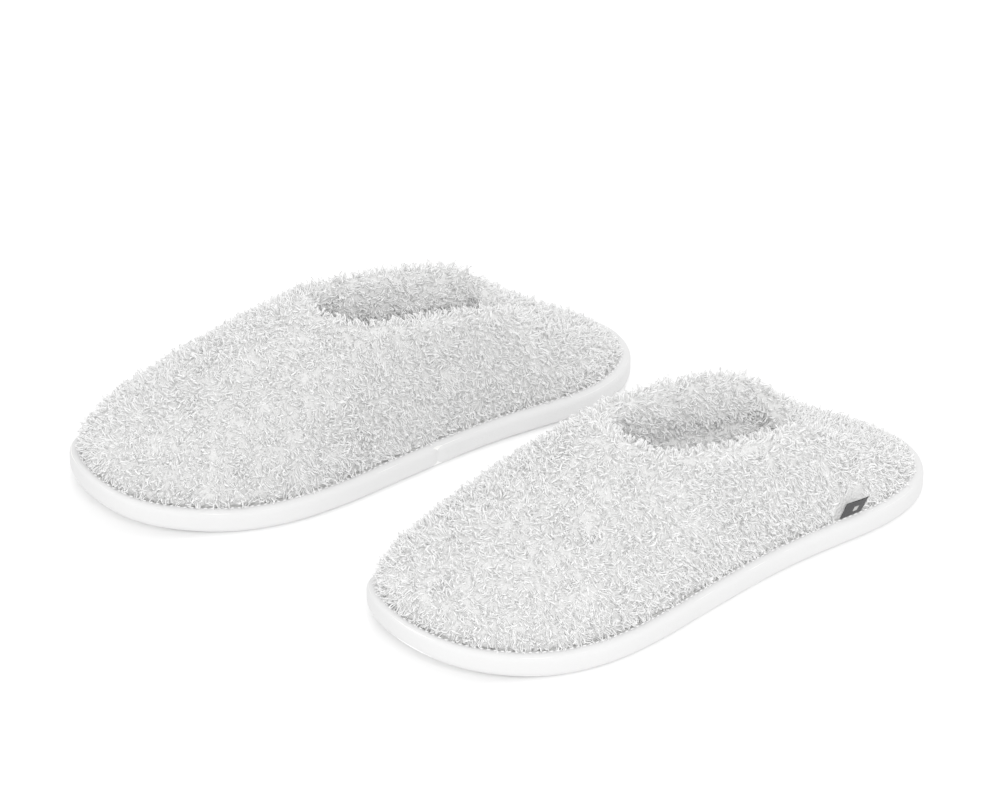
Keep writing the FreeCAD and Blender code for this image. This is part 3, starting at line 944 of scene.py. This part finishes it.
        self.feed(size, {0: self.chance("FLOAT", self.SMALLEST, self.LARGEST, 11),
                         1: start["Size"]})
        stamp = self.node("GeometryNodeInstanceOnPoints")
        self.feed(stamp, {"Pick Instance": True, "Points": spots.outputs["Points"],
                          "Instance": kinds.outputs[0],
                          "Instance Index": self.chance("INT", 0, self.KINDS - 1, 17),
                          "Rotation": turned.outputs["Rotation"], "Scale": size.outputs[0]})
        real = self.node("GeometryNodeRealizeInstances")
        self.feed(real, {"Geometry": stamp.outputs["Instances"]})
        self.feed(self.node("NodeGroupOutput"), {"Pile": real.outputs["Geometry"]})


@dataclass
class PileSetting:
    """How thick, long and tousled a stretch of pile is."""

    spacing: float
    stand: float = 0.55
    swirl: float = 0.38
    fall: float = 0.4
    tousle: float = 0.6
    size: float = 1.0


class TerryPile:
    """Maker of pile: keeps the yarn loops and grows them on stretches of cloth."""

    def __init__(self) -> None:
        """Build the kinds of loop and the nodes that place them."""
        self.nodes = PileNodes()
        self.loops = bpy.data.collections.new("yarn_loops")
        kinds = [
            LoopYarn("loop_a", twist=0.6),
            LoopYarn("loop_b", twist=-0.9, bend=1.9 * MM, height=3.4 * MM, spread=1.0 * MM),
            LoopYarn("loop_c", twist=1.2, bend=0.9 * MM, height=4.1 * MM, spread=0.7 * MM),
            LoopYarn("loop_d", twist=-1.5, bend=2.2 * MM, height=3.6 * MM, spread=1.1 * MM),
        ]
        for kind in kinds:
            self.loops.objects.link(bpy.data.objects.new(kind.name, kind.build()))

    def grow(self, name: str, cloth: bpy.types.Mesh, setting: PileSetting,
             seed: int) -> bpy.types.Object:
        """Grow the pile of one stretch of cloth as a piece of its own.

        Args:
            name: name of the piece.
            cloth: the stretch of cloth, in place.
            setting: how the pile stands.
            seed: seed of the loops' places and turns.

        Returns:
            The piece, a mesh of loops.
        """
        bed = add_object(name + "_bed", cloth)
        scatter = bed.modifiers.new("pile", "NODES")
        scatter.node_group = self.nodes.group
        values = {"Loops": self.loops, "Spacing": setting.spacing, "Stand": setting.stand,
                  "Swirl": setting.swirl, "Fall": setting.fall, "Tousle": setting.tousle,
                  "Size": setting.size, "Seed": seed}
        for item in self.nodes.group.interface.items_tree:
            if item.in_out == "INPUT" and item.name in values:
                scatter[item.identifier] = values[item.name]
        bpy.context.view_layer.update()
        ready = bed.evaluated_get(bpy.context.evaluated_depsgraph_get())
        mesh = bpy.data.meshes.new_from_object(ready)
        mesh.name = name
        bpy.data.objects.remove(bed)
        bpy.data.meshes.remove(cloth)
        piece = add_object(name, mesh)
        LOG.info("%s: %d triangles", name,
                 sum(len(p.vertices) - 2 for p in mesh.polygons))
        return piece

    def put_away(self) -> None:
        """Remove the single loops once all the pile is grown."""
        for loop in list(self.loops.objects):
            mesh = loop.data
            bpy.data.objects.remove(loop)
            bpy.data.meshes.remove(mesh)
        bpy.data.collections.remove(self.loops)


# ---------------------------------------------------------------------- slipper
@dataclass
class Upper:
    """Padded terry upper of one slipper, with its rolled collar and lining."""

    form: UpperForm
    finishes: Finishes
    pile: TerryPile
    outer_pile: PileSetting = field(default_factory=lambda: PileSetting(0.96 * MM))
    collar_pile: PileSetting = field(
        default_factory=lambda: PileSetting(1.18 * MM, fall=0.2, stand=0.8))
    lining_pile: PileSetting = field(
        default_factory=lambda: PileSetting(2.4 * MM, stand=0.8, size=0.7, fall=0.1))
    lump_height: float = 0.7 * MM
    lump_size: float = 24.0 * MM
    lump_shift: tuple[float, float, float] = (7.3, 1.9, 4.1)
    lump_floor: float = 14.0 * MM
    lump_ease: float = 20.0 * MM
    left_seed: int = 11
    right_seed: int = 47
    collar_shift: int = 9
    lining_shift: int = 10
    bare_toeward: float = 2.0 * MM
    bare_half: tuple[float, float] = (14.0 * MM, 8.0 * MM)
    bare_top: float = 7.6 * MM

    @property
    def foot(self) -> Foot:
        """Foot that the slipper is for."""
        return self.form.sole.foot

    def build(self) -> None:
        """Build the shell and its pile, zone by zone."""
        places = self.soften(self.form.places())
        word = self.foot.word
        shell = add_object(word + "_upper", mesh_from(sheet_of(places, True, True),
                                                     word + "_upper"))
        # The shell shows between the loops; its grey finish is painted shade.
        self.finishes.settle(shell, self.foot.body, "terry", "terry_ground")
        parts = ("vamp_terry", "heel_terry", "vamp_padding", "heel_padding",
                 "vamp_lining", "heel_lining", "vamp_collar", "heel_collar")
        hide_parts(*[word + "_" + part for part in parts])
        self.grow_piles(places)

    def soften(self, places: np.ndarray) -> np.ndarray:
        """Raise soft lumps where the padding is fuller, and hollows between them.

        Args:
            places: table of the shell's places, shaped (around, rows, 3).

        Returns:
            The softened table.
        """
        middle = places.mean(axis=(0, 1))
        soft = places.copy()
        for column in range(places.shape[0]):
            for row in range(places.shape[1]):
                spot = Vector(places[column, row] / self.lump_size)
                lump = noise.noise(spot + Vector(self.lump_shift) * self.foot.value)
                away = places[column, row] - middle
                away /= np.linalg.norm(away)
                above = (places[column, row, 2] - self.lump_floor) / self.lump_ease
                fade = min(1.0, max(0.0, above))
                soft[column, row] += away * lump * self.lump_height * fade
        return soft

    def cut_cloth(self, name: str, places: np.ndarray, columns: np.ndarray,
                  rows: slice) -> bpy.types.Mesh:
        """Cut a stretch of the shell's cloth, facing the way its pile grows.

        Args:
            name: name of the mesh.
            places: table of the shell's places, shaped (around, rows, 3).
            columns: columns of the stretch.
            rows: rows of the stretch.

        Returns:
            The cloth's mesh.
        """
        part = places[columns][:, rows]
        work = sheet_of(part, False, False)
        middle = Vector(places.mean(axis=(0, 1)))
        face = max(work.faces, key=lambda item: item.calc_center_median().z)
        outwards = (face.calc_center_median() - middle).dot(face.normal) > 0.0
        if outwards != (name.count("lining") == 0):
            bmesh.ops.reverse_faces(work, faces=work.faces)
        self.clear_label(work)
        return mesh_from(work, name)

    def clear_label(self, work: bmesh.types.BMesh) -> None:
        """Leave the pile off the cloth where the woven label stands and folds back.

        Args:
            work: the cloth, which loses those faces on the left foot.
        """
        if self.foot is not Foot.LEFT:
            return
        low, high = (Vector(corner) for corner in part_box("left_label_tab"))
        middle = (low + high) / 2.0
        hidden = []
        for face in work.faces:
            spot = face.calc_center_median() - middle
            beside = abs(spot.x) < self.bare_half[0]
            along = abs(spot.y + self.bare_toeward) < self.bare_half[1]
            if beside and along and spot.z < self.bare_top:
                hidden.append(face)
        bmesh.ops.delete(work, geom=hidden, context="FACES")

    def grow_piles(self, places: np.ndarray) -> None:
        """Grow the outer pile in four zones, then the collar's and the lining's.

        Args:
            places: table of the shell's places, shaped (around, rows, 3).
        """
        form = self.form
        around = form.around
        outer = slice(1, form.outer_rows)
        collar_rows = form.outer_rows + form.roll_rows + form.inner_rows // 3
        collar = slice(form.outer_rows - 1, collar_rows)
        lining = slice(collar_rows - 1, places.shape[1])
        seed = self.left_seed if self.foot is Foot.LEFT else self.right_seed
        for index, zone in enumerate(Zone):
            first = int(round(zone.start * around))
            last = int(round(zone.stop * around))
            columns = np.arange(first, last + 1) % around
            self.finish_pile(f"{zone.word}_pile", places, columns, outer,
                             self.outer_pile, seed + index, "terry_loops")
        every = np.arange(0, around + 1) % around
        self.finish_pile("collar_pile", places, every, collar, self.collar_pile,
                         seed + self.collar_shift, "terry_loops")
        self.finish_pile("lining_pile", places, every, lining, self.lining_pile,
                         seed + self.lining_shift, "lining_loops")

    def finish_pile(self, word: str, places: np.ndarray, columns: np.ndarray, rows: slice,
                    setting: PileSetting, seed: int, finish: str) -> None:
        """Grow one stretch of pile, dress it and set it on its body.

        Args:
            word: the piece's name after the foot's word.
            places: table of the shell's places, shaped (around, rows, 3).
            columns: columns of the stretch.
            rows: rows of the stretch.
            setting: how the pile stands.
            seed: seed of its loops.
            finish: name of its finish.
        """
        name = f"{self.foot.word}_{word}"
        cloth = self.cut_cloth(name, places, columns, rows)
        piece = self.pile.grow(name, cloth, setting, seed)
        self.finishes.settle(piece, self.foot.body, "terry", finish)


@dataclass
class BoundSole:
    """Binding tape, its stitching and the terry insole of one slipper."""

    sole: SoleForm
    finishes: Finishes
    pile: TerryPile
    lap_station: float = 158.0 * MM
    lap_depth: float = 0.9 * MM
    lap_spread: float = 1.5
    band_height: float = 11.2 * MM
    lip: float = 5.0 * MM
    soft_edge: float = 3.4 * MM
    cloth: float = 1.2 * MM
    cloth_top: float = 2.4 * MM
    cloth_foot: float = 1.4 * MM
    turned_top: tuple[tuple[float, float], ...] = ((0.6 * MM, 0.5 * MM), (0.8 * MM, 2.0 * MM))
    turned_foot: tuple[float, float] = (1.0 * MM, 0.1 * MM)
    arc_points: int = 7
    swell_height: float = 0.25 * MM
    swell_scale: float = 70.0
    swell_level: float = 3.0
    swell_inset: float = 4.0 * MM
    around: int = 480
    stitch_pitch: float = 3.0 * MM
    stitch_half: float = 0.36
    stitch_inset: float = 0.9 * MM
    stitch_rise: float = 0.02 * MM
    thread: float = 0.28 * MM
    insole_inset: float = 11.3 * MM
    insole_height: float = 2.5 * MM
    insole_tuck: float = 2.0 * MM
    insole_rings: int = 16
    insole_spine: tuple[float, float] = (50.0 * MM, 240.0 * MM)
    insole_reach: float = 0.985
    insole_cup: float = 1.6 * MM
    insole_gap: float = 0.2 * MM
    left_seed: int = 91
    right_seed: int = 133
    insole_pile: PileSetting = field(
        default_factory=lambda: PileSetting(2.3 * MM, stand=0.9, fall=0.0, size=0.7))

    @property
    def word(self) -> str:
        """Word that starts the names of the pieces."""
        return self.sole.foot.word

    def profile(self) -> np.ndarray:
        """Section of the tape round the sole's edge.

        Returns:
            Closed (inset, height) pairs: the soft outer face, then the turned-in edges.
        """
        low = self.sole.tape_low
        high = low + self.band_height
        soft = self.soft_edge
        quarter = np.linspace(0.0, math.pi / 2.0, self.arc_points)
        wall = [(soft - soft * math.sin(angle), low + soft - soft * math.cos(angle))
                for angle in quarter]
        wall += [(soft - soft * math.cos(angle), high - soft + soft * math.sin(angle))
                 for angle in quarter]
        inside = [(self.lip + past, high - under) for past, under in self.turned_top]
        inside += [(self.cloth, high - self.cloth_top), (self.cloth, low + self.cloth_foot)]
        inside += [(self.lip, low + level) for level in self.turned_foot]
        return np.array(wall + inside)

    def tape(self) -> None:
        """Fold the tape round the edge, with its ends lapped in one place."""
        section = self.profile()
        count = self.around
        rings = []
        for inset, height in section:
            plan = self.sole.ring(count, float(max(inset, 0.0)))
            rings.append(np.concatenate([plan, np.full((count, 1), height)], axis=1))
        places = np.stack(rings, axis=1)
        places = self.sole.stand(self.ripple(places))
        piece = add_object(self.word + "_binding", mesh_from(
            sheet_of(places, True, True), self.word + "_binding"))
        self.finishes.settle(piece, self.sole.foot.body, "binding", "binding_tape")
        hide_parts(self.word + "_sole_binding")

    def ripple(self, places: np.ndarray) -> np.ndarray:
        """Let the tape swell a little between stitches and step where it is lapped.

        Args:
            places: table of the tape's places, shaped (around, section, 3).

        Returns:
            The moved table.
        """
        count = places.shape[0]
        outline = self.sole.ring(count, 0.0)
        inner = self.sole.ring(count, self.swell_inset)
        outward = outline - inner
        outward /= np.linalg.norm(outward, axis=1)[:, None]
        swell = np.array([noise.noise(Vector((*(spot * self.swell_scale), self.swell_level)))
                          for spot in outline])
        inner_side = outline[:, 0] * self.sole.foot.value < 0.0
        lapped = np.argmin(np.where(inner_side, np.abs(outline[:, 1] - self.lap_station), 1.0))
        lap = np.clip(self.lap_spread - np.abs(np.arange(count) - lapped), 0.0, 1.0)
        move = swell * self.swell_height - lap * self.lap_depth
        moved = places.copy()
        moved[..., :2] += outward[:, None] * move[:, None, None]
        return moved

    def stitches(self) -> None:
        """Row of thread along the tape's inner edge, beside the terry."""
        outline = self.sole.ring(4 * self.around, self.lip - self.stitch_inset)
        step = np.linalg.norm(np.roll(outline, -1, axis=0) - outline, axis=1).mean()
        every = max(1, int(round(self.stitch_pitch / step)))
        height = self.sole.tape_low + self.band_height + self.stitch_rise
        work = bmesh.new()
        for index in range(0, len(outline) - every // 2, every):
            here, ahead = outline[index], outline[(index + every) % len(outline)]
            middle = np.array([*((here + ahead) / 2.0), height])
            spot = self.sole.stand(middle[None])[0]
            along = (ahead - here) @ self.sole.turn.T
            angle = math.atan2(along[1], along[0])
            made = bmesh.ops.create_uvsphere(work, u_segments=5, v_segments=4, radius=1.0)
            long = self.stitch_pitch * self.stitch_half
            grow = Matrix.Diagonal((long, self.thread, self.thread, 1.0))
            move = Matrix.Translation(Vector(spot)) @ Matrix.Rotation(angle, 4, "Z")
            bmesh.ops.transform(work, matrix=move @ grow, verts=made["verts"])
        piece = add_object(self.word + "_tape_stitches",
                           mesh_from(work, self.word + "_tape_stitches"))
        self.finishes.settle(piece, self.sole.foot.body, "binding", "tape_thread")

    def insole(self) -> None:
        """Terry insole: a soft bed that rises to the foot of the lining."""
        count = self.around // 4
        base = self.sole.stack_top
        top = base + self.insole_height
        rim = self.sole.ring(count, self.insole_inset - self.insole_tuck)
        spine_y = np.clip(rim[:, 1], *self.insole_spine)
        spine = np.stack([np.zeros(count), spine_y], axis=1)
        table = []
        for step in range(self.insole_rings + 1):
            share = step / self.insole_rings
            plan = rim + (spine - rim) * min(share, self.insole_reach)
            cup = self.insole_cup * (1.0 - share) ** 3
            table.append(np.concatenate([plan, np.full((count, 1), top + cup)], axis=1))
        under = table[0].copy()
        under[:, 2] = base + self.insole_gap
        places = self.sole.stand(np.stack([under] + table, axis=1))
        work = sheet_of(places, True, False)
        edges = [edge for edge in work.edges if edge.is_boundary]
        bmesh.ops.holes_fill(work, edges=edges, sides=0)
        bmesh.ops.recalc_face_normals(work, faces=work.faces)
        bed = mesh_from(work, self.word + "_insole")
        piece = add_object(self.word + "_insole", bed)
        self.finishes.settle(piece, self.sole.foot.body, "terry", "lining_ground")
        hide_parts(self.word + "_insole_terry")
        work = sheet_of(places[:, 1:], True, False)
        top_face = max(work.faces, key=lambda item: item.calc_area())
        if top_face.normal.z < 0.0:
            bmesh.ops.reverse_faces(work, faces=work.faces)
        seed = self.left_seed if self.sole.foot is Foot.LEFT else self.right_seed
        loops = self.pile.grow(self.word + "_insole_pile", mesh_from(work, "insole_cloth"),
                               self.insole_pile, seed)
        self.finishes.settle(loops, self.sole.foot.body, "terry", "lining_loops")

    def build(self) -> None:
        """Build every piece of the bound sole."""
        self.tape()
        self.stitches()
        self.insole()


@dataclass
class WovenLabel:
    """Folded woven label in the outer heel seam of the left slipper."""

    finishes: Finishes
    width: float = 12.0 * MM
    height: float = 6.6 * MM
    stand_off: float = 0.6 * MM
    foot_gap: float = 0.7 * MM
    toeward: float = 2.8 * MM
    lean: float = math.radians(4.0)
    curl: float = 0.4 * MM
    skew: float = 0.30
    thickness: float = 0.7 * MM
    wave: tuple[float, float] = (3.0, 0.4)
    mark_across: tuple[float, float] = (-0.02, 0.16)
    mark_up: tuple[float, float] = (-0.16, 0.12)
    cloth_share: float = 1.05

    def marked(self, face: bmesh.types.BMFace) -> bool:
        """Tell whether a face of the flat ribbon carries the small pale mark.

        Args:
            face: face of the ribbon, before it is bent.

        Returns:
            Whether its middle lies in the mark.
        """
        spot = face.calc_center_median()
        return (self.mark_across[0] < spot.x < self.mark_across[1]
                and self.mark_up[0] < spot.y < self.mark_up[1])

    def build(self) -> None:
        """Bend a folded ribbon and stand it where the frame holds its tab."""
        joint = next(item for item in frame["joints"] if item["name"] == "label_fold")
        pivot = Vector(joint["pos_m"])
        along = Vector(joint["axis"]).normalized()
        outward = along.cross(Vector((0, 0, 1)))
        upward = outward * math.sin(self.lean) + Vector((0, 0, math.cos(self.lean)))
        work = bmesh.new()
        bmesh.ops.create_grid(work, x_segments=16, y_segments=10, size=0.5)
        for face in work.faces:
            face.material_index = 1 if self.marked(face) else 0
        for vert in work.verts:
            x, y = vert.co.x, vert.co.y + 0.5
            curl = self.curl * math.sin(x * self.wave[0] + self.wave[1]) * y
            spot = pivot + along * ((x + self.skew * y) * self.width - self.toeward)
            spot = spot + upward * (y * self.height + self.foot_gap)
            vert.co = spot + outward * (curl + self.stand_off)
        bmesh.ops.solidify(work, geom=work.faces, thickness=self.thickness)
        bmesh.ops.recalc_face_normals(work, faces=work.faces)
        piece = add_object("left_woven_label", mesh_from(work, "left_woven_label"))
        self.finishes.settle(piece, "label", "label", "woven_label", "label_motif")
        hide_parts("left_label_tab")


# ------------------------------------------------------------------------ studio
@dataclass(frozen=True)
class Lamp:
    """Soft square lamp: where it hangs, how wide it is and how strong."""

    name: str
    spot: tuple[float, float, float]
    size: float
    power: float


@dataclass
class Studio:
    """Pale floor, soft light and the camera."""

    target: tuple[float, float, float] = (-0.0689, 0.03695, 0.0)
    azimuth: float = math.radians(58.59)
    elevation: float = math.radians(32.0)
    distance: float = 2.0
    lens: float = 156.8
    sensor: float = 36.0
    clip: tuple[float, float] = (0.05, 50.0)
    gamma: float = 1.6
    surround: float = 0.92
    floor_size: float = 6.0
    floor_tone: float = 0.94
    floor_roughness: float = 0.9
    lamps: tuple[Lamp, ...] = (Lamp("top_lamp", (-0.3, 0.5, 2.2), 1.6, 10.0),
                               Lamp("front_lamp", (1.75, -0.95, 1.55), 0.7, 35.0))

    def floor(self) -> None:
        """Lay a wide pale floor under the pair."""
        work = bmesh.new()
        bmesh.ops.create_grid(work, x_segments=1, y_segments=1, size=self.floor_size)
        piece = add_object("studio_floor", mesh_from(work, "studio_floor"))
        kit = Shader("pale_floor")
        tone = self.floor_tone
        kit.shader.inputs["Base Color"].default_value = (tone, tone, tone, 1.0)
        kit.shader.inputs["Roughness"].default_value = self.floor_roughness
        piece.data.materials.append(kit.material)

    def hang(self, lamp: Lamp) -> None:
        """Hang one lamp that faces the pair.

        Args:
            lamp: the lamp's values.
        """
        light = bpy.data.lights.new(lamp.name, "AREA")
        light.size = lamp.size
        light.energy = lamp.power
        made = bpy.data.objects.new(lamp.name, light)
        made.location = lamp.spot
        aim = Vector(self.target) - Vector(lamp.spot)
        made.rotation_euler = aim.to_track_quat("-Z", "Y").to_euler()
        bpy.context.scene.collection.objects.link(made)

    def light(self) -> None:
        """Set the soft surround and the lamps."""
        world = bpy.data.worlds.new("studio_surround")
        world.use_nodes = True
        glow = world.node_tree.nodes["Background"]
        glow.inputs["Color"].default_value = (1.0, 1.0, 1.0, 1.0)
        glow.inputs["Strength"].default_value = self.surround
        bpy.context.scene.world = world
        for lamp in self.lamps:
            self.hang(lamp)

    def camera(self) -> None:
        """Stand the camera where the pair is seen over the left foot's side."""
        view = bpy.data.cameras.new("camera")
        view.lens = self.lens
        view.sensor_width = self.sensor
        view.clip_start, view.clip_end = self.clip
        away = Vector((math.sin(self.azimuth) * math.cos(self.elevation),
                       -math.cos(self.azimuth) * math.cos(self.elevation),
                       math.sin(self.elevation)))
        eye = bpy.data.objects.new("camera", view)
        eye.location = Vector(self.target) + away * self.distance
        eye.rotation_euler = (-away).to_track_quat("-Z", "Y").to_euler()
        bpy.context.scene.collection.objects.link(eye)
        bpy.context.scene.camera = eye

    def build(self) -> None:
        """Set up the floor, the light and the camera."""
        bpy.context.scene.view_settings.view_transform = "Standard"
        bpy.context.scene.view_settings.gamma = self.gamma
        self.floor()
        self.light()
        self.camera()


def dress_frame(finishes: Finishes) -> None:
    """Give the frame's own pieces, inside and under the slippers, their finishes.

    Args:
        finishes: the pair's finishes.
    """
    by_word = {"grip_dots": "sole_dots", "outsole": "sole_cloth", "midsole": "padding_foam",
               "board": "pressed_board", "footbed": "padding_foam"}
    for name, node in frame["nodes"].items():
        for word, finish in by_word.items():
            if word in name:
                finishes.put(node, finish)


def main() -> None:
    """Build the pair of slippers and the studio in order."""
    logging.basicConfig(level=logging.INFO, format="%(name)s %(message)s")
    finishes = Finishes()
    pile = TerryPile()
    dress_frame(finishes)
    for foot in Foot:
        sole = SoleForm(foot)
        BoundSole(sole, finishes, pile).build()
        sway = LEFT_SWAY if foot is Foot.LEFT else 0.0
        Upper(UpperForm(sole, sway=sway), finishes, pile).build()
        LOG.info("%s slipper built", foot.word)
    WovenLabel(finishes).build()
    pile.put_away()
    Studio().build()


if __name__ == "__main__":
    main()
